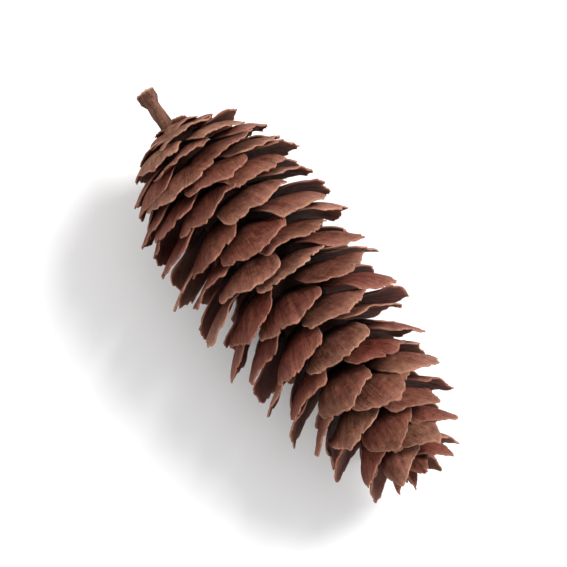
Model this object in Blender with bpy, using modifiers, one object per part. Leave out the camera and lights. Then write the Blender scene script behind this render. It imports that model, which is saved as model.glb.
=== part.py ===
# A spruce cone lying on its side, as picked: a woody axis that carries overlapping scales
# set along one spiral. Metres, +Z up. The cone's axis runs along X, from the stem end at -X
# to the tip at +X, and the lowest scales are worn flat where the cone rests, at Z = 0.

import math

import bmesh
import bpy
import numpy as np
from mathutils import Matrix, Vector

# The whole cone
AXIS_HEIGHT = 0.0187  # from the surface it rests on to the middle of the woody axis
STEM_END_X = -0.04896  # where the stalk ends
SCALE_COUNT = 112
TURN = math.radians(137.508)  # each scale stands this far round from the one before
FIRST_TURN = math.radians(171.0)

# The stalk and the woody axis: distance from the stalk's end, and radius there
AXIS_PROFILE = (
    (0.0000, 0.0021),
    (0.0020, 0.0020),
    (0.0035, 0.0014),
    (0.0090, 0.0015),
    (0.0110, 0.0040),
    (0.0180, 0.0060),
    (0.0600, 0.0060),
    (0.0800, 0.0040),
    (0.0910, 0.0014),
)
AXIS_SIDES = 16

# Where the first and last scales are rooted, from the stalk's end
FIRST_ROOT = 0.0120
LAST_ROOT = 0.0895

# How the scales change along the spiral, from the first at the stem end (0) to the last (1)
ALONG = (0.00, 0.05, 0.12, 0.25, 0.55, 0.80, 0.93, 1.00)
ROOT_SHARE = (0.00, 0.032, 0.078, 0.163, 0.484, 0.787, 0.934, 1.00)  # where along the axis it is
LENGTH = (0.0090, 0.0122, 0.0148, 0.0168, 0.0179, 0.0169, 0.0146, 0.0092)
WIDTH = (0.0112, 0.0128, 0.0138, 0.0150, 0.0156, 0.0144, 0.0117, 0.0066)
ROOT_ANGLE = (93.0, 89.0, 85.0, 82.0, 77.6, 67.0, 52.7, 32.0)  # degrees from the axis
TIP_ANGLE = (62.0, 57.0, 53.0, 49.5, 46.3, 39.6, 30.5, 18.0)
POINTED = (0.14, 0.16, 0.19, 0.21, 0.24, 0.32, 0.46, 0.60)  # how far its corners stand back

# The small scales packed round the stalk: the outermost one, and the one next to the spiral
BASAL_COUNT = 12
BASAL_ROOT = (0.0102, 0.0119)
BASAL_LENGTH = (0.0028, 0.0084)
BASAL_WIDTH = (0.0040, 0.0108)
BASAL_ROOT_ANGLE = (106.0, 94.0)
BASAL_TIP_ANGLE = (74.0, 61.0)

# One scale: its half width as a share of the widest, from root to tip
OUTLINE_AT = (0.00, 0.30, 0.55, 0.78, 0.93, 1.00)
OUTLINE = (0.36, 0.64, 0.87, 0.99, 1.00, 0.96)
FLATNESS = 0.65  # 0 follows the round of the cone, 1 is a flat plate
FLAT_FROM = 0.0050  # it starts to flatten at this distance from the axis
FLAT_TO = 0.0170
CUP = 0.0008  # how far the side edges turn up towards the tip of the cone
THICKNESS = 0.0009
ROOT_DEPTH = 0.0020  # how far a scale starts inside the woody axis

# The points of one scale's sheet, along it and across it
ROWS = (0.00, 0.45, 0.76, 1.00)
COLUMNS = (-1.0, -0.5, 0.0, 0.5, 1.0)

# The worn flats that the cone rests on
FLOOR_BLOCK = (0.12, 0.08, 0.02)


def clear_scene():
    for obj in list(bpy.data.objects):
        bpy.data.objects.remove(obj, do_unlink=True)


def new_collection(name):
    collection = bpy.data.collections.new(name)
    bpy.context.scene.collection.children.link(collection)
    return collection


def principled(name, color, roughness):
    material = bpy.data.materials.new(name)
    material.use_nodes = True
    shader = material.node_tree.nodes["Principled BSDF"]
    shader.inputs["Base Color"].default_value = (*color, 1.0)
    shader.inputs["Roughness"].default_value = roughness
    shader.inputs["Metallic"].default_value = 0.0
    return material


def at(share, values):
    return float(np.interp(share, ALONG, values))


def axis_radius(distance):
    along, radius = zip(*AXIS_PROFILE)
    return float(np.interp(distance, along, radius))


def basal_size(index):
    # These carry the spiral on before its first scale, so their numbers are below 0
    share = (index + BASAL_COUNT + 0.5) / BASAL_COUNT
    sizes = (BASAL_ROOT, BASAL_LENGTH, BASAL_WIDTH, BASAL_ROOT_ANGLE, BASAL_TIP_ANGLE)
    root, length, width, root_angle, tip_angle = (a + (b - a) * share for a, b in sizes)
    return {
        "turn": FIRST_TURN + index * TURN,
        "root": root,
        "start": max(axis_radius(root) - ROOT_DEPTH, 0.0006),
        "length": length,
        "width": width,
        "root_angle": math.radians(root_angle),
        "tip_angle": math.radians(tip_angle),
        "pointed": POINTED[0],
    }


def scale_size(index):
    if index < 0:
        return basal_size(index)
    share = (index + 0.5) / SCALE_COUNT
    root = FIRST_ROOT + (LAST_ROOT - FIRST_ROOT) * at(share, ROOT_SHARE)
    return {
        "turn": FIRST_TURN + index * TURN,
        "root": root,
        "start": max(axis_radius(root) - ROOT_DEPTH, 0.0004),
        "length": at(share, LENGTH),
        "width": at(share, WIDTH),
        "root_angle": math.radians(at(share, ROOT_ANGLE)),
        "tip_angle": math.radians(at(share, TIP_ANGLE)),
        "pointed": at(share, POINTED),
    }


def smooth_step(share):
    share = min(max(share, 0.0), 1.0)
    return share * share * (3.0 - 2.0 * share)


def scale_point(size, row, column):
    # The middle line is an arc that leaves the axis at root_angle and ends at tip_angle.
    reach = row * (1.0 - size["pointed"] * abs(column) ** 1.12 * row)
    bend = size["tip_angle"] - size["root_angle"]
    angle = size["root_angle"] + bend * reach
    out = size["length"] * (math.cos(size["root_angle"]) - math.cos(angle)) / bend
    along = size["length"] * (math.sin(angle) - math.sin(size["root_angle"])) / bend
    middle = size["start"] + out
    across = column * size["width"] / 2 * float(np.interp(row, OUTLINE_AT, OUTLINE))
    flat = FLATNESS * smooth_step((middle - FLAT_FROM) / (FLAT_TO - FLAT_FROM))
    bow = across / max(middle, 0.0035)
    turn = size["turn"] + bow + flat * (math.atan(bow) - bow)
    radius = middle + flat * (math.hypot(middle, across) - middle)
    lift = CUP * column**2 * row
    return Vector(
        (
            radius * math.cos(turn),
            radius * math.sin(turn),
            size["root"] + along + lift,
        )
    )


def make_scale(index, collection):
    size = scale_size(index)
    sheet = bmesh.new()
    bmesh.ops.create_grid(
        sheet, x_segments=len(COLUMNS) - 1, y_segments=len(ROWS) - 1, size=1.0
    )
    places = {}
    for vertex in sheet.verts:
        column = round((vertex.co.x + 1) / 2 * (len(COLUMNS) - 1))
        row = round((vertex.co.y + 1) / 2 * (len(ROWS) - 1))
        vertex.co = scale_point(size, ROWS[row], COLUMNS[column])
        places[row, column] = vertex
    # The sunk root keeps only its corners, and the row above it its corners and middle
    welds = {places[0, 2]: places[0, 0]}
    for row in (0, 1):
        welds[places[row, 1]] = places[row, 0]
        welds[places[row, 3]] = places[row, 4]
    bmesh.ops.weld_verts(sheet, targetmap=welds)
    bmesh.ops.triangulate(sheet, faces=sheet.faces[:])
    mesh = bpy.data.meshes.new(f"scale_{index + BASAL_COUNT:03d}")
    sheet.to_mesh(mesh)
    sheet.free()
    scale = bpy.data.objects.new(mesh.name, mesh)
    collection.objects.link(scale)
    shell = scale.modifiers.new("thickness", "SOLIDIFY")
    shell.thickness = THICKNESS
    shell.offset = 0.0
    return scale


def make_axis(collection, material):
    # A profile down the outer side, tip to stem end, turned about Z
    rim = [(radius, distance) for distance, radius in reversed(AXIS_PROFILE)]
    profile = [(0.0, rim[0][1])] + rim + [(0.0, rim[-1][1])]
    mesh = bpy.data.meshes.new("cone")
    mesh.from_pydata(
        [(r, 0.0, z) for r, z in profile],
        [(i, i + 1) for i in range(len(profile) - 1)],
        [],
    )
    axis = bpy.data.objects.new("cone", mesh)
    collection.objects.link(axis)
    screw = axis.modifiers.new("turned", "SCREW")
    screw.steps = AXIS_SIDES
    screw.render_steps = AXIS_SIDES
    screw.use_merge_vertices = True
    screw.merge_threshold = 0.00002
    axis.data.materials.append(material)
    return axis


def apply_modifiers(obj):
    graph = bpy.context.evaluated_depsgraph_get()
    mesh = bpy.data.meshes.new_from_object(obj.evaluated_get(graph))
    obj.modifiers.clear()
    obj.data = mesh


def join_scales(cone, scales):
    union = cone.modifiers.new("scales", "BOOLEAN")
    union.operation = "UNION"
    union.operand_type = "COLLECTION"
    union.collection = scales
    union.solver = "MANIFOLD"
    bpy.context.view_layer.update()
    apply_modifiers(cone)
    for scale in list(scales.objects):
        bpy.data.objects.remove(scale, do_unlink=True)
    bpy.data.collections.remove(scales)


def lay_down(cone):
    upright_to_lying = Matrix.Rotation(math.pi / 2, 4, "Y")
    cone.matrix_world = (
        Matrix.Translation((STEM_END_X, 0.0, AXIS_HEIGHT)) @ upright_to_lying
    )


def wear_flats(cone, cutters):
    bpy.ops.mesh.primitive_cube_add(size=1.0)
    block = bpy.context.object
    block.name = "floor_block"
    block.scale = FLOOR_BLOCK
    block.location = (0.0, 0.0, -FLOOR_BLOCK[2] / 2)
    block.hide_render = True
    block.display_type = "WIRE"
    for owner in list(block.users_collection):
        owner.objects.unlink(block)
    cutters.objects.link(block)
    flats = cone.modifiers.new("worn flats", "BOOLEAN")
    flats.operation = "DIFFERENCE"
    flats.solver = "EXACT"
    flats.object = block


def main():
    clear_scene()
    parts = new_collection("spruce cone")
    cutters = new_collection("cutters")
    scales = new_collection("scales")
    wood = principled("cone scales", (0.20, 0.085, 0.055), 0.75)
    cone = make_axis(parts, wood)
    for index in range(-BASAL_COUNT, SCALE_COUNT):
        make_scale(index, scales)
    join_scales(cone, scales)
    lay_down(cone)
    wear_flats(cone, cutters)


main()
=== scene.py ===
# A spruce cone lying on its side on a pale floor, seen from above.
# The scales stand on one spiral round the woody axis. A node tree makes them from a few curves,
# one piece for each of the eight steep rows that they lie in.

import math

import bmesh
import bpy
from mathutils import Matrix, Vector, noise


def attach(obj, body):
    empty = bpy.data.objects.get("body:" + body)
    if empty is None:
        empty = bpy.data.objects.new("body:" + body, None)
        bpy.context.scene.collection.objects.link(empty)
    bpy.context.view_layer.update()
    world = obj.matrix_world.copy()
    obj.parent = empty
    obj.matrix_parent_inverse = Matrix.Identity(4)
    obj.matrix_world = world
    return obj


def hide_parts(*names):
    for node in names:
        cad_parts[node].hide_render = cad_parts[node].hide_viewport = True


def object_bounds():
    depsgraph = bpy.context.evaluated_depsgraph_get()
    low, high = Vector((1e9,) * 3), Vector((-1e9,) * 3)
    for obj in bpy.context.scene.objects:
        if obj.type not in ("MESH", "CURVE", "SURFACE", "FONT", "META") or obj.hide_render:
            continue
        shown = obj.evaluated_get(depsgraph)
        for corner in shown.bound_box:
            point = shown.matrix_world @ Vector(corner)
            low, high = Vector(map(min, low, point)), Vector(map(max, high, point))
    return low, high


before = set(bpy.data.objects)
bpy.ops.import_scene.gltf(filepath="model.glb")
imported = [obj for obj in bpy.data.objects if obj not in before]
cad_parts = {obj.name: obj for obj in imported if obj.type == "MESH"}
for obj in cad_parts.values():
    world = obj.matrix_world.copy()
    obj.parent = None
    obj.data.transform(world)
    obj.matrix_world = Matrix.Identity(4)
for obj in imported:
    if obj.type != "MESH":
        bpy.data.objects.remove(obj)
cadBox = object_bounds()

# How the cone lies: its axis runs along X at this height, and the stalk starts at stemEnd
cone = {
    "axisHeight": 0.0187,
    "stemEnd": -0.04896,
    "scales": 112,
    "rows": 8,  # every eighth scale along the spiral lies in the same steep row
    "turn": math.radians(137.508),
    "firstTurn": math.radians(171.0),
}

# Sizes along the spiral, from the first scale at the stem end (0) to the last at the tip (1)
spiral = {
    "stations": (0.00, 0.05, 0.12, 0.25, 0.55, 0.80, 0.93, 1.00),
    "rootShare": (0.00, 0.032, 0.078, 0.163, 0.484, 0.787, 0.934, 1.00),
    "startRadius": (2.3, 3.0, 4.0, 4.0, 4.0, 2.7, 0.96, 0.4),  # mm
    "length": (9.0, 12.2, 14.8, 16.8, 17.9, 16.9, 14.6, 9.2),  # mm
    "width": (12.8, 14.1, 14.7, 15.2, 15.6, 14.4, 11.7, 6.6),  # mm
    "rootAngle": (93, 89, 85, 82, 77.6, 67, 52.7, 32),  # degrees from the axis
    "tipAngle": (62, 57, 53, 49.5, 46.3, 39.6, 30.5, 18),
    "pointed": (0.14, 0.16, 0.19, 0.21, 0.24, 0.32, 0.46, 0.60),  # the corners' drop, as a share
    "firstRoot": 0.0120,
    "lastRoot": 0.0895,
}

# The small scales packed round the stalk carry the spiral on before its first scale
basalSpiral = {
    "count": 18,
    "stations": (0.00, 0.50, 1.00),
    "rootShare": (0.00, 0.50, 1.00),
    "startRadius": (1.0, 1.5, 2.0),
    "length": (2.8, 5.2, 8.4),
    "width": (4.0, 7.0, 10.8),
    "rootAngle": (106, 100, 94),
    "tipAngle": (74, 67, 61),
    "pointed": (0.10, 0.12, 0.14),
    "firstRoot": 0.0100,
    "lastRoot": 0.0119,
}

# The form of one scale, and how much each one differs from the next (metres and radians)
scaleForm = {
    "columns": 57,
    "rows": 23,
    "crowding": 1.35,  # above 1, the rows of points lie closer together near the tip
    "outlineAt": (0.00, 0.30, 0.55, 0.78, 0.93, 1.00),
    "outline": (0.36, 0.64, 0.87, 0.99, 1.00, 0.96),
    "shoulder": 1.12,  # 1 cuts the tip to straight sides, 2 rounds it
    "ragged": 0.060,
    "split": 0.11,  # depth of the deepest split, as a share of the length
    "nibble": 0.035,
    "raggedSides": 0.07,
    "flatness": 0.65,  # 0 follows the round of the cone, 1 is a flat plate
    "flatFrom": 0.005,  # it starts to flatten at this distance from the axis
    "flatTo": 0.017,
    "leastBow": 0.0035,
    "cup": 0.0008,
    "cupJitter": 0.5,
    "wave": 0.0011,
    "flute": 0.00009,
    "curl": 0.0009,
    "twist": 0.0008,
    "keel": 0.00025,
    "thickness": 0.0009,
    "rimShare": 0.30,  # the rim's thickness, as a share of the middle's
    "floorGap": 0.0002,
    "sharpFrom": 0.9,  # edges that turn by more than this stay sharp
    "angleJitter": math.radians(4.5),
    "sizeJitter": 0.05,
    "turnJitter": 0.03,
    "tipJitter": 0.14,  # how far the tip stands off the middle line
}

# What the small scales round the stalk have instead
basalForm = {
    "Columns": 25,
    "Rows": 11,
    "Cup": 0.0003,
    "Wave": 0.0004,
    "Thickness": 0.0007,
}

axisLength = spiral["lastRoot"] - basalSpiral["firstRoot"]


class Field:
    # One number in a node tree, so that a rule can be written as plain arithmetic
    def __init__(self, tree, socket):
        self.tree = tree
        self.socket = socket

    def __add__(self, other):
        return calc(self.tree, "ADD", self, other)

    __radd__ = __add__

    def __sub__(self, other):
        return calc(self.tree, "SUBTRACT", self, other)

    def __rsub__(self, other):
        return calc(self.tree, "SUBTRACT", other, self)

    def __mul__(self, other):
        return calc(self.tree, "MULTIPLY", self, other)

    __rmul__ = __mul__

    def __truediv__(self, other):
        return calc(self.tree, "DIVIDE", self, other)

    def __pow__(self, other):
        return calc(self.tree, "POWER", self, other)

    def __neg__(self):
        return calc(self.tree, "MULTIPLY", self, -1.0)


def feed(tree, socket, value):
    if isinstance(value, Field):
        value = value.socket
    if isinstance(value, bpy.types.NodeSocket):
        tree.links.new(value, socket)
    else:
        socket.default_value = value


def addNode(tree, kind, inputs=None, **settings):
    node = tree.nodes.new(kind)
    for name, value in settings.items():
        setattr(node, name, value)
    for key, value in (inputs or {}).items():
        feed(tree, node.inputs[key], value)
    return node


def calc(tree, operation, *values):
    node = addNode(tree, "ShaderNodeMath", operation=operation)
    for socket, value in zip(node.inputs, values):
        feed(tree, socket, value)
    return Field(tree, node.outputs[0])


def vector(tree, x, y, z):
    return addNode(tree, "ShaderNodeCombineXYZ", {"X": x, "Y": y, "Z": z}).outputs[0]


def smoothStep(tree, value, low, high, toLow=0.0, toHigh=1.0):
    node = addNode(
        tree,
        "ShaderNodeMapRange",
        {"Value": value, "From Min": low, "From Max": high, "To Min": toLow, "To Max": toHigh},
        interpolation_type="SMOOTHSTEP",
    )
    return Field(tree, node.outputs[0])


def grain(tree, x, y, z, scale=1.0, detail=2.0, roughness=0.5):
    # Noise between about -1 and 1
    node = addNode(
        tree,
        "ShaderNodeTexNoise",
        {
            "Vector": vector(tree, x, y, z),
            "Scale": scale,
            "Detail": detail,
            "Roughness": roughness,
        },
    )
    return (Field(tree, node.outputs[0]) - 0.5) * 2.6


def curve(tree, value, places, heights, handles="VECTOR"):
    # A curve through the heights, which are scaled to fit the node's 0 to 1. VECTOR joins them
    # with straight stretches, and AUTO with a smooth line.
    top = max(heights)
    node = addNode(tree, "ShaderNodeFloatCurve", {"Value": value})
    points = node.mapping.curves[0].points
    for count, (place, height) in enumerate(zip(places, heights)):
        if count < 2:
            points[count].location = (place, height / top)
        else:
            points.new(place, height / top)
    for point in points:
        point.handle_type = handles
    node.mapping.update()
    return Field(tree, node.outputs[0]) * top


def newTree(name, sizes):
    # A geometry tree with one named input for each size
    tree = bpy.data.node_groups.new(name, "GeometryNodeTree")
    tree.is_modifier = True
    tree.interface.new_socket(name="Geometry", in_out="OUTPUT", socket_type="NodeSocketGeometry")
    kinds = {int: "NodeSocketInt", float: "NodeSocketFloat"}
    for label, value in sizes.items():
        kind = kinds.get(type(value), "NodeSocketMaterial")
        tree.interface.new_socket(name=label, in_out="INPUT", socket_type=kind)
    start = tree.nodes.new("NodeGroupInput")
    fields = {label: Field(tree, start.outputs[label]) for label in sizes}
    return tree, fields


def makePiece(name, tree, sizes):
    # Runs the tree on an empty mesh and keeps the result as a plain mesh
    holder = bpy.data.objects.new(name + "Maker", bpy.data.meshes.new(name + "Maker"))
    bpy.context.scene.collection.objects.link(holder)
    modifier = holder.modifiers.new("maker", "NODES")
    modifier.node_group = tree
    for item in tree.interface.items_tree:
        if item.in_out == "INPUT":
            modifier[item.identifier] = sizes[item.name]
    graph = bpy.context.evaluated_depsgraph_get()
    mesh = bpy.data.meshes.new_from_object(holder.evaluated_get(graph))
    mesh.name = name
    holder.modifiers.remove(modifier)
    bpy.data.objects.remove(holder, do_unlink=True)
    piece = bpy.data.objects.new(name, mesh)
    bpy.context.scene.collection.objects.link(piece)
    print(name, "has", len(mesh.polygons), "faces")
    return piece


def scaleTree(name, table, sizes):
    tree, size = newTree(name, sizes)
    stations = table["stations"]
    form = scaleForm
    points = addNode(tree, "GeometryNodePoints", {"Count": size["Scale Count"]})
    index = Field(tree, addNode(tree, "GeometryNodeInputIndex").outputs[0])
    numbered = addNode(
        tree,
        "GeometryNodeStoreNamedAttribute",
        {
            "Geometry": points.outputs[0],
            "Name": "number",
            "Value": index * size["Scale Step"] + size["First Scale"],
        },
        data_type="FLOAT",
        domain="POINT",
    )
    # A thin slab stands for one scale: x across it, y from root to tip, z from back to front
    slab = addNode(
        tree,
        "GeometryNodeMeshCube",
        {
            "Size": (2.0, 1.0, 2.0),
            "Vertices X": size["Columns"],
            "Vertices Y": size["Rows"],
            "Vertices Z": 2,
        },
    )
    placed = addNode(
        tree,
        "GeometryNodeInstanceOnPoints",
        {"Points": numbered.outputs[0], "Instance": slab.outputs[0]},
    )
    shape = addNode(tree, "GeometryNodeRealizeInstances", {"Geometry": placed.outputs[0]})
    position = addNode(tree, "GeometryNodeInputPosition").outputs[0]
    position = addNode(tree, "ShaderNodeSeparateXYZ", {0: position})
    across = Field(tree, position.outputs[0])
    reach = Field(tree, position.outputs[1]) + 0.5
    reach = 1.0 - (1.0 - reach) ** form["crowding"]
    side = Field(tree, position.outputs[2])
    stored = addNode(
        tree, "GeometryNodeInputNamedAttribute", {"Name": "number"}, data_type="FLOAT"
    )
    number = Field(tree, stored.outputs[0])
    place = (number - size["Spiral Start"] + 0.5) / size["All Scales"]

    def chance(seed):
        # A random number from -1 to 1, the same all over one scale
        node = addNode(tree, "FunctionNodeRandomValue", data_type="FLOAT")
        low, high = [s for s in node.inputs if s.enabled and s.name in ("Min", "Max")]
        low.default_value, high.default_value = -1.0, 1.0
        ident = next(s for s in node.inputs if s.name == "ID")
        seedSocket = next(s for s in node.inputs if s.name == "Seed")
        feed(tree, ident, number)
        seedSocket.default_value = seed
        return Field(tree, next(s for s in node.outputs if s.enabled))

    jitter = size["Size Jitter"]
    swing = size["Angle Jitter"]
    root = size["First Root"] + (size["Last Root"] - size["First Root"]) * curve(
        tree, place, stations, table["rootShare"]
    )
    startRadius = curve(tree, place, stations, table["startRadius"]) * 0.001
    length = curve(tree, place, stations, table["length"]) * 0.001 * (1.0 + chance(11) * jitter)
    width = curve(tree, place, stations, table["width"]) * 0.001 * (1.0 + chance(12) * jitter)
    rootAngle = curve(tree, place, stations, table["rootAngle"]) * math.radians(1)
    tipAngle = curve(tree, place, stations, table["tipAngle"]) * math.radians(1)
    rootAngle = rootAngle + chance(13) * swing * 0.5
    tipAngle = tipAngle + chance(14) * swing
    firstTurn = size["First Turn"] + chance(15) * form["turnJitter"]

    # The outline: a blunt point, ragged where it has dried and split
    offCentre = across + chance(16) * form["tipJitter"] * (1.0 - across * across)
    pointed = curve(tree, place, stations, table["pointed"])
    blunt = calc(tree, "ABSOLUTE", offCentre) ** form["shoulder"] * pointed
    rag = grain(tree, across * 2.1, number * 3.7, 0.0, detail=1.0) * 0.9
    rag = rag + grain(tree, across * 6.5, number * 5.3, 4.0, detail=1.0) * 0.55
    rag = rag + grain(tree, across * 17.0, number * 2.9, 9.0, detail=2.0) * 0.28
    ragged = rag * size["Ragged"]
    # Up to two splits in the dry edge
    split = smoothStep(tree, calc(tree, "ABSOLUTE", across - chance(21) * 0.75), 0.07, 0.0)
    split = split * calc(tree, "MAXIMUM", chance(22), 0.0)
    other = smoothStep(tree, calc(tree, "ABSOLUTE", across - chance(23) * 0.85), 0.06, 0.0)
    split = split + other * calc(tree, "MAXIMUM", chance(24), 0.0) * 0.8
    nibble = smoothStep(tree, grain(tree, across * 9.0, number * 3.3, 3.0, detail=1.0), 0.45, 0.9)
    torn = split * form["split"] + nibble * form["nibble"]
    along = reach * (1.0 - blunt * reach - ragged * reach**5.0 - torn * reach**9.0)
    whichSide = calc(tree, "SIGN", across) * 0.7
    sideRag = grain(tree, reach * 5.0, number * 4.1 + whichSide, 2.0, detail=3.0)
    outline = curve(tree, reach, form["outlineAt"], form["outline"], "AUTO")
    halfWidth = width * 0.5 * outline * (1.0 + sideRag * form["raggedSides"])

    # The middle line: an arc that leaves the axis at rootAngle and ends at tipAngle
    bend = tipAngle - rootAngle
    angle = rootAngle + bend * along
    out = length * (calc(tree, "COSINE", rootAngle) - calc(tree, "COSINE", angle)) / bend
    forward = length * (calc(tree, "SINE", angle) - calc(tree, "SINE", rootAngle)) / bend

    # Cupping, waves and the curl of the dry edge, all square to the scale's face
    edge = calc(tree, "MAXIMUM", calc(tree, "ABSOLUTE", across), reach)
    wave = grain(tree, across * 0.9, reach * 1.1 + number * 7.7, 1.0, detail=0.0)
    wave = wave * size["Wave"] * reach
    ripple = grain(tree, across * 3.3, reach * 2.0 + number * 6.1, 5.0, detail=1.0)
    wave = wave + ripple * size["Wave"] * 0.55 * edge**6.0
    flute = grain(tree, across * 6.0, reach * 0.9, number * 4.7, detail=1.0) * size["Flute"]
    wave = wave + flute * smoothStep(tree, reach, 0.2, 0.6)
    curl = chance(17) * form["curl"] * smoothStep(tree, reach, 0.6, 1.1)
    twist = chance(18) * form["twist"] * across * reach
    keel = (1.0 - calc(tree, "ABSOLUTE", across)) ** 3.0 * form["keel"] * reach
    thin = 1.0 - (1.0 - size["Rim Share"]) * edge**3.0
    offset = side * size["Thickness"] * 0.5 * thin + wave + curl + twist + keel
    lift = size["Cup"] * across * across * reach * (1.0 + chance(19) * form["cupJitter"])

    # A scale is flatter than the round of the cone, so its corners stand out
    middleRadius = startRadius + out
    sideways = across * halfWidth
    flat = smoothStep(tree, middleRadius, form["flatFrom"], form["flatTo"]) * size["Flatness"]
    hypotenuse = calc(tree, "SQRT", middleRadius * middleRadius + sideways * sideways)
    bow = sideways / calc(tree, "MAXIMUM", middleRadius, form["leastBow"])
    offTurn = bow + flat * (calc(tree, "ARCTANGENT", bow) - bow)
    radius = middleRadius + flat * (hypotenuse - middleRadius)
    radius = radius + offset * calc(tree, "COSINE", angle)
    distance = root + forward + lift - offset * calc(tree, "SINE", angle)
    turned = firstTurn + number * size["Turn"] + offTurn
    # The lowest scales are pressed flat where the cone rests
    down = calc(tree, "MAXIMUM", calc(tree, "COSINE", turned), 0.2)
    lowest = size["Axis Height"] - form["floorGap"] + side * form["floorGap"]
    radius = calc(tree, "MINIMUM", radius, lowest / down)

    x = size["Stem End"] + distance
    y = radius * calc(tree, "SINE", turned)
    z = size["Axis Height"] - radius * calc(tree, "COSINE", turned)
    geometry = shape.outputs[0]
    stores = {"across": across, "reach": reach, "side": side, "tone": chance(20)}
    stores["axisShare"] = (root - basalSpiral["firstRoot"]) / axisLength
    for label, value in stores.items():
        store = addNode(
            tree,
            "GeometryNodeStoreNamedAttribute",
            {"Geometry": geometry, "Name": label, "Value": value},
            data_type="FLOAT",
            domain="POINT",
        )
        geometry = store.outputs[0]
    moved = addNode(
        tree, "GeometryNodeSetPosition", {"Geometry": geometry, "Position": vector(tree, x, y, z)}
    )
    smooth = addNode(
        tree, "GeometryNodeSetShadeSmooth", {"Geometry": moved.outputs[0], "Shade Smooth": True}
    )
    corner = addNode(tree, "GeometryNodeInputMeshEdgeAngle").outputs[0]
    sharp = addNode(
        tree,
        "GeometryNodeSetShadeSmooth",
        {
            "Geometry": smooth.outputs[0],
            "Selection": calc(tree, "GREATER_THAN", corner, form["sharpFrom"]),
            "Shade Smooth": False,
        },
        domain="EDGE",
    )
    real = addNode(tree, "GeometryNodeRealizeInstances", {"Geometry": sharp.outputs[0]})
    painted = addNode(
        tree, "GeometryNodeSetMaterial", {"Geometry": real.outputs[0], "Material": size["Material"]}
    )
    addNode(tree, "NodeGroupOutput", {"Geometry": painted.outputs[0]})
    return tree


def attribute(tree, name):
    node = addNode(tree, "ShaderNodeAttribute", attribute_name=name, attribute_type="GEOMETRY")
    return Field(tree, node.outputs["Fac"])


def mix(tree, share, first, second):
    node = addNode(tree, "ShaderNodeMix", data_type="RGBA", clamp_factor=True)
    feed(tree, node.inputs[0], share)
    for socket, value in ((node.inputs[6], first), (node.inputs[7], second)):
        feed(tree, socket, (*value, 1.0) if isinstance(value, tuple) else value)
    return node.outputs[2]


def objectGrain(tree, coordinates, scale, detail=4.0, roughness=0.55, stretch=None):
    if stretch:
        coordinates = addNode(
            tree, "ShaderNodeMapping", {"Vector": coordinates, "Scale": stretch}
        ).outputs[0]
    node = addNode(
        tree,
        "ShaderNodeTexNoise",
        {"Vector": coordinates, "Scale": scale, "Detail": detail, "Roughness": roughness},
    )
    return Field(tree, node.outputs[0])


scaleWood = {
    "face": (0.126, 0.0345, 0.0228),
    "dark": (0.035, 0.0052, 0.0029),
    "warm": (0.212, 0.0680, 0.0420),
    # pale worn rim, also the painted highlight on the edges
    "rim": (0.350, 0.157, 0.106),
    # near black: painted shade at each scale's covered root, over its darker base
    "root": (0.014, 0.003, 0.002),
    "tan": (0.168, 0.068, 0.036),
    "base": (0.230, 0.092, 0.045),
    # the inner face, darkened as painted shade
    "inner": (0.062, 0.0112, 0.0062),
    "wingMark": (0.112, 0.0360, 0.0200),
    "roughness": 0.68,
    "bump": 0.95,
}


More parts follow.
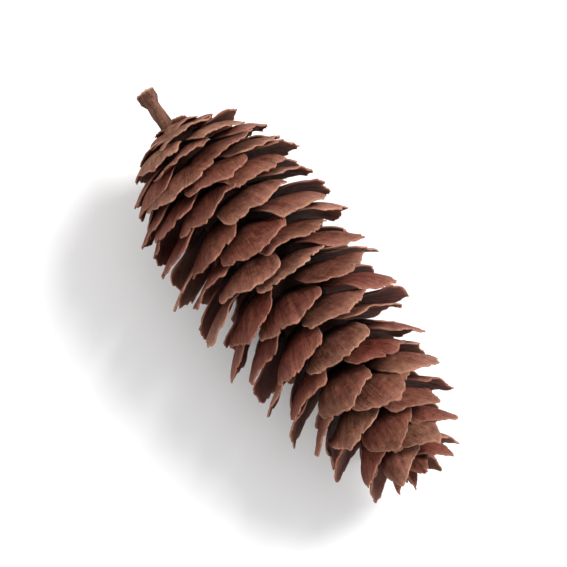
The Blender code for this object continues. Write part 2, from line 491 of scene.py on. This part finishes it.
def makeScaleWood():
    material = bpy.data.materials.new("dry scale wood")
    material.use_nodes = True
    tree = material.node_tree
    shader = tree.nodes["Principled BSDF"]
    across = attribute(tree, "across")
    reach = attribute(tree, "reach")
    side = attribute(tree, "side")
    tone = attribute(tree, "tone")
    axisShare = attribute(tree, "axisShare")
    spot = addNode(tree, "ShaderNodeTexCoord").outputs["Object"]

    # Lines that fan out from the root, broken along their length
    hair = grain(tree, across * 62.0, reach * 3.4, tone * 31.0, detail=4.0, roughness=0.6)
    lines = grain(tree, across * 21.0, reach * 2.0, tone * 31.0, detail=5.0, roughness=0.62)
    broad = grain(tree, across * 5.0, reach * 1.7, tone * 47.0, detail=3.0)
    cloud = objectGrain(tree, spot, 300.0, 5.0, 0.6)
    speck = objectGrain(tree, spot, 2300.0, 4.0, 0.6)
    mottle = objectGrain(tree, spot, 800.0, 4.0, 0.6)

    patch = objectGrain(tree, spot, 120.0, 3.0, 0.5)
    warmth = smoothStep(tree, broad + (cloud - 0.5) * 1.6, -0.7, 0.8)
    color = mix(tree, warmth, scaleWood["face"], scaleWood["warm"])
    color = mix(tree, smoothStep(tree, patch, 0.50, 0.62) * 0.50, color, scaleWood["tan"])
    # Yellower at the stem end
    color = mix(tree, smoothStep(tree, axisShare, 0.16, 0.02) * 0.50, color, scaleWood["base"])
    color = mix(tree, smoothStep(tree, lines, -0.1, 0.9) * 0.90, color, scaleWood["dark"])
    color = mix(tree, smoothStep(tree, hair, 0.05, 0.9) * 0.60, color, scaleWood["dark"])
    color = mix(tree, smoothStep(tree, hair, -0.15, -1.0) * 0.30, color, scaleWood["rim"])
    color = mix(tree, smoothStep(tree, cloud, 0.50, 0.70) * 0.6, color, scaleWood["dark"])
    color = mix(tree, smoothStep(tree, mottle, 0.52, 0.66) * 0.5, color, scaleWood["dark"])
    color = mix(tree, smoothStep(tree, mottle, 0.46, 0.34) * 0.22, color, scaleWood["rim"])
    # The inner face is plainer, and darker as painted shade for the gaps between the rows, with the
    # two marks that the seeds' wings left
    inner = smoothStep(tree, side, 0.2, -0.2)
    color = mix(tree, inner * 0.75, color, scaleWood["inner"])
    markAcross = (calc(tree, "ABSOLUTE", across) - 0.40) / 0.34
    markAlong = (reach - 0.50) / 0.34
    mark = calc(tree, "SQRT", markAcross * markAcross + markAlong * markAlong) + lines * 0.05
    color = mix(tree, smoothStep(tree, mark, 1.0, 0.86) * inner * 0.55, color, scaleWood["wingMark"])
    # Dark towards the root: painted shade where the scale lies under its neighbours, over the
    # scale's own darker base
    color = mix(tree, smoothStep(tree, reach + lines * 0.02, 0.58, 0.22), color, scaleWood["root"])
    # Paler rim with an uneven inner border: partly the worn edge, partly a painted highlight where
    # the thin edge catches the light
    edge = calc(tree, "MAXIMUM", calc(tree, "ABSOLUTE", across), reach)
    edge = edge + lines * 0.014 + broad * 0.014
    outward = smoothStep(tree, reach, 0.4, 0.7)
    halo = smoothStep(tree, edge, 0.76, 1.0) * outward
    color = mix(tree, halo * 0.36, color, scaleWood["rim"])
    # The thin strip at the edge: paler worn wood, brightened further as a painted highlight
    rim = smoothStep(tree, edge, 0.962, 0.990) * outward
    patchyRim = smoothStep(tree, lines + broad * 0.6, 0.9, -0.5, 0.30, 0.95)
    color = mix(tree, rim * patchyRim, color, scaleWood["rim"])
    # Each scale a little lighter or darker
    vary = addNode(
        tree,
        "ShaderNodeHueSaturation",
        {
            "Hue": 0.5 + tone * 0.007,
            "Saturation": 1.0 - tone * 0.06,
            "Value": 1.0 + tone * 0.18,
            "Color": color,
        },
    )
    fleck = smoothStep(tree, speck, 0.64, 0.72) * smoothStep(tree, reach, 0.4, 0.7) * 0.4
    color = mix(tree, fleck, vary.outputs[0], scaleWood["rim"])
    pit = smoothStep(tree, speck, 0.42, 0.32) * 0.65
    color = mix(tree, pit, color, scaleWood["dark"])
    tree.links.new(color, shader.inputs["Base Color"])
    rough = scaleWood["roughness"] + lines * 0.05 + (cloud - 0.5) * 0.3
    tree.links.new(rough.socket, shader.inputs["Roughness"])
    shader.inputs["Specular IOR Level"].default_value = 0.14

    ridges = addNode(
        tree,
        "ShaderNodeBump",
        {
            "Strength": scaleWood["bump"],
            "Distance": 0.00026,
            "Height": lines * 0.5 + broad * 0.5 + hair * 0.22,
        },
    )
    pores = addNode(
        tree,
        "ShaderNodeBump",
        {"Strength": 0.5, "Distance": 0.00010, "Height": speck + cloud, "Normal": ridges.outputs[0]},
    )
    tree.links.new(pores.outputs[0], shader.inputs["Normal"])
    return material


stalk = {
    "profile": (  # distance from the end, radius
        (0.0000, 0.00205),
        (0.0020, 0.00200),
        (0.0036, 0.00142),
        (0.0090, 0.00150),
        (0.0110, 0.00380),
        (0.0180, 0.00570),
        (0.0600, 0.00580),
        (0.0800, 0.00360),
        (0.0880, 0.00120),
        (0.0902, 0.00045),
    ),
    "sides": 40,
    "rings": 150,
    "tornRings": 5,
    "unevenness": 0.10,
    "flute": 0.035,
    "lean": 0.0008,
    "leanLength": 0.011,  # how far in from its end the stalk leans
    "bark": (0.150, 0.066, 0.042),
    "barkDark": (0.050, 0.017, 0.010),
    # the axis inside the cone, near black as painted shade
    "axis": (0.022, 0.006, 0.0035),
    "cut": (0.420, 0.250, 0.160),
}


def profileRadius(distance):
    pairs = stalk["profile"]
    for (d0, r0), (d1, r1) in zip(pairs, pairs[1:]):
        if distance <= d1:
            share = (distance - d0) / (d1 - d0)
            return r0 + (r1 - r0) * share
    return pairs[-1][1]


def makeStalk(material):
    # The woody axis with its short stalk, fluted and a little uneven
    mesh = bpy.data.meshes.new("stalk")
    form = bmesh.new()
    total = stalk["profile"][-1][0]
    rings = []
    for ring in range(stalk["rings"] + 1):
        share = ring / stalk["rings"]
        distance = total * share**1.6
        base = profileRadius(distance)
        row = []
        for k in range(stalk["sides"]):
            angle = k / stalk["sides"] * math.tau
            spot = Vector((distance * 420, math.cos(angle) * 1.3, math.sin(angle) * 1.3))
            rough = noise.fractal(spot, 0.8, 2.0, 3) * stalk["unevenness"]
            flute = math.sin(angle * 7 + distance * 260) * stalk["flute"]
            radius = base * (1 + rough + flute)
            endWard = 0.0004 * noise.noise(Vector((math.cos(angle) * 3, math.sin(angle) * 3, 7.0)))
            x = cone["stemEnd"] + distance + (endWard + 0.0004) * max(0, 1 - distance / 0.003)
            lean = stalk["lean"] * max(0.0, 1 - distance / stalk["leanLength"]) ** 1.5
            z = cone["axisHeight"] - radius * math.cos(angle) - lean
            row.append(form.verts.new((x, radius * math.sin(angle) + lean * 0.6, z)))
        rings.append(row)
    count = stalk["sides"]
    for low, high in zip(rings, rings[1:]):
        for k in range(count):
            n = (k + 1) % count
            form.faces.new((low[k], low[n], high[n], high[k]))
    # The torn end: rings that sink a little to the middle
    middle = sum((vert.co for vert in rings[0]), Vector()) / count
    last = rings[0]
    steps = stalk["tornRings"] + 1
    for step in range(1, steps):
        share = 1 - step / steps
        row = []
        for vert in rings[0]:
            point = middle.lerp(vert.co, share)
            point.x += 0.00035 * noise.noise(point * 2400) + 0.0003 * (1 - share)
            row.append(form.verts.new(point))
        for k in range(count):
            n = (k + 1) % count
            form.faces.new((row[k], row[n], last[n], last[k]))
        last = row
    form.faces.new(tuple(reversed(last)))
    form.faces.new(tuple(rings[-1]))
    bmesh.ops.recalc_face_normals(form, faces=form.faces[:])
    form.to_mesh(mesh)
    form.free()
    mesh.shade_smooth()
    mesh.set_sharp_from_angle(angle=math.radians(50))
    mesh.materials.append(material)
    piece = bpy.data.objects.new("stalk", mesh)
    bpy.context.scene.collection.objects.link(piece)
    print("stalk has", len(mesh.polygons), "faces")
    return piece


def makeBark():
    material = bpy.data.materials.new("stalk bark")
    material.use_nodes = True
    tree = material.node_tree
    shader = tree.nodes["Principled BSDF"]
    spot = addNode(tree, "ShaderNodeTexCoord").outputs["Object"]
    streak = objectGrain(tree, spot, 900.0, 5.0, 0.6, stretch=(0.22, 1.0, 1.0))
    crumb = objectGrain(tree, spot, 2200.0, 4.0)
    apart = addNode(tree, "ShaderNodeSeparateXYZ", {0: spot})
    fromEnd = Field(tree, apart.outputs[0]) - cone["stemEnd"]
    end = smoothStep(tree, fromEnd, 0.0010, 0.0004)
    color = mix(tree, smoothStep(tree, streak, 0.38, 0.66), stalk["barkDark"], stalk["bark"])
    color = mix(tree, smoothStep(tree, crumb, 0.58, 0.75) * 0.5, color, stalk["cut"])
    color = mix(tree, end * 0.8, color, stalk["cut"])
    # The axis inside the cone is painted near black, as painted shade among the scales
    shadedAxis = smoothStep(tree, fromEnd, 0.010, 0.013)
    color = mix(tree, shadedAxis * 0.9, color, stalk["axis"])
    tree.links.new(color, shader.inputs["Base Color"])
    shader.inputs["Roughness"].default_value = 0.8
    shader.inputs["Specular IOR Level"].default_value = 0.2
    height = streak + crumb * 0.4
    bump = addNode(tree, "ShaderNodeBump", {"Strength": 0.7, "Distance": 0.0003, "Height": height})
    tree.links.new(bump.outputs[0], shader.inputs["Normal"])
    return material


studio = {
    "azimuth": 54.0,
    "elevation": 80.0,
    "lens": 165.0,
    "distance": 0.52,
    "floor": (0.86, 0.86, 0.86),
    "keyWay": (0.90, 0.72, 0.90),  # to the camera's right, up, and back towards it
    "keyDistance": 0.55,
    "keyPower": 3.9,
    "keySize": 0.24,
    "fillWay": (-0.8, -0.3, 1.0),
    "fillDistance": 0.7,
    "fillShare": 0.18,
    "fillSize": 0.6,
    "sky": 0.85,
}


def makeFloor():
    bpy.ops.mesh.primitive_plane_add(size=6.0, location=(0.0, 0.0, -0.00002))
    floor = bpy.context.object
    floor.name = "floor"
    material = bpy.data.materials.new("pale floor")
    material.use_nodes = True
    tree = material.node_tree
    shader = tree.nodes["Principled BSDF"]
    spot = addNode(tree, "ShaderNodeTexCoord").outputs["Object"]
    mottle = objectGrain(tree, spot, 9.0, 2.0)
    light = tuple(c * 1.02 for c in studio["floor"])
    tree.links.new(mix(tree, mottle, studio["floor"], light), shader.inputs["Base Color"])
    shader.inputs["Roughness"].default_value = 0.9
    shader.inputs["Specular IOR Level"].default_value = 0.1
    floor.data.materials.append(material)


def makeStudio():
    scene = bpy.context.scene
    scene.view_settings.view_transform = "Standard"
    scene.view_settings.look = "None"
    world = bpy.data.worlds.new("soft studio")
    scene.world = world
    world.use_nodes = True
    background = world.node_tree.nodes["Background"]
    background.inputs[0].default_value = (1.0, 1.0, 1.0, 1.0)
    background.inputs[1].default_value = studio["sky"]
    low, high = (Vector(corner) for corner in cadBox)
    middle = (low + high) / 2
    turn, tilt = math.radians(studio["azimuth"]), math.radians(studio["elevation"])
    right = Vector((math.cos(turn), math.sin(turn), 0.0))
    back = Vector(
        (math.sin(turn) * math.cos(tilt), -math.cos(turn) * math.cos(tilt), math.sin(tilt))
    )
    up = back.cross(right)
    camera = bpy.data.objects.new("camera", bpy.data.cameras.new("camera"))
    scene.collection.objects.link(camera)
    camera.data.lens = studio["lens"]
    camera.data.clip_start = 0.01
    camera.location = middle + back * studio["distance"]
    camera.rotation_euler = (-back).to_track_quat("-Z", "Y").to_euler()
    scene.camera = camera
    powers = {"key": studio["keyPower"], "fill": studio["keyPower"] * studio["fillShare"]}
    for name, power in powers.items():
        rightward, upward, backward = studio[name + "Way"]
        way = (right * rightward + up * upward + back * backward).normalized()
        lamp = bpy.data.objects.new(name, bpy.data.lights.new(name, "AREA"))
        scene.collection.objects.link(lamp)
        lamp.data.shape = "DISK"
        lamp.data.size = studio[name + "Size"]
        lamp.data.energy = power
        lamp.location = middle + way * studio[name + "Distance"]
        lamp.rotation_euler = way.to_track_quat("Z", "Y").to_euler()
    print("camera and lights are set")


def sizesOf(table, first, count, total, start, wood):
    # The values that each tree takes in, by the names of its sockets
    return {
        "Scale Count": count,
        "First Scale": first,
        "Scale Step": 1,
        "All Scales": float(total),
        "Spiral Start": float(start),
        "Turn": cone["turn"],
        "First Turn": cone["firstTurn"],
        "First Root": table["firstRoot"],
        "Last Root": table["lastRoot"],
        "Axis Height": cone["axisHeight"],
        "Stem End": cone["stemEnd"],
        "Columns": scaleForm["columns"],
        "Rows": scaleForm["rows"],
        "Ragged": scaleForm["ragged"],
        "Flatness": scaleForm["flatness"],
        "Cup": scaleForm["cup"],
        "Wave": scaleForm["wave"],
        "Flute": scaleForm["flute"],
        "Thickness": scaleForm["thickness"],
        "Rim Share": scaleForm["rimShare"],
        "Angle Jitter": scaleForm["angleJitter"],
        "Size Jitter": scaleForm["sizeJitter"],
        "Material": wood,
    }


makeStudio()
makeFloor()
wood = makeScaleWood()
rowLength = cone["scales"] // cone["rows"]
sizes = sizesOf(spiral, 0, rowLength, cone["scales"], 0, wood)
sizes["Scale Step"] = cone["rows"]
tree = scaleTree("spiral of scales", spiral, sizes)
pieces = [
    makePiece(f"scales_row_{row + 1}", tree, {**sizes, "First Scale": row})
    for row in range(cone["rows"])
]
small = basalSpiral["count"]
sizes = sizesOf(basalSpiral, -small, small, small, -small, wood)
sizes.update(basalForm)
tree = scaleTree("small scales at the stalk", basalSpiral, sizes)
pieces.append(makePiece("scales_basal", tree, sizes))
pieces.append(makeStalk(makeBark()))

for piece in pieces:
    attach(piece, "root")
    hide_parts("cone")
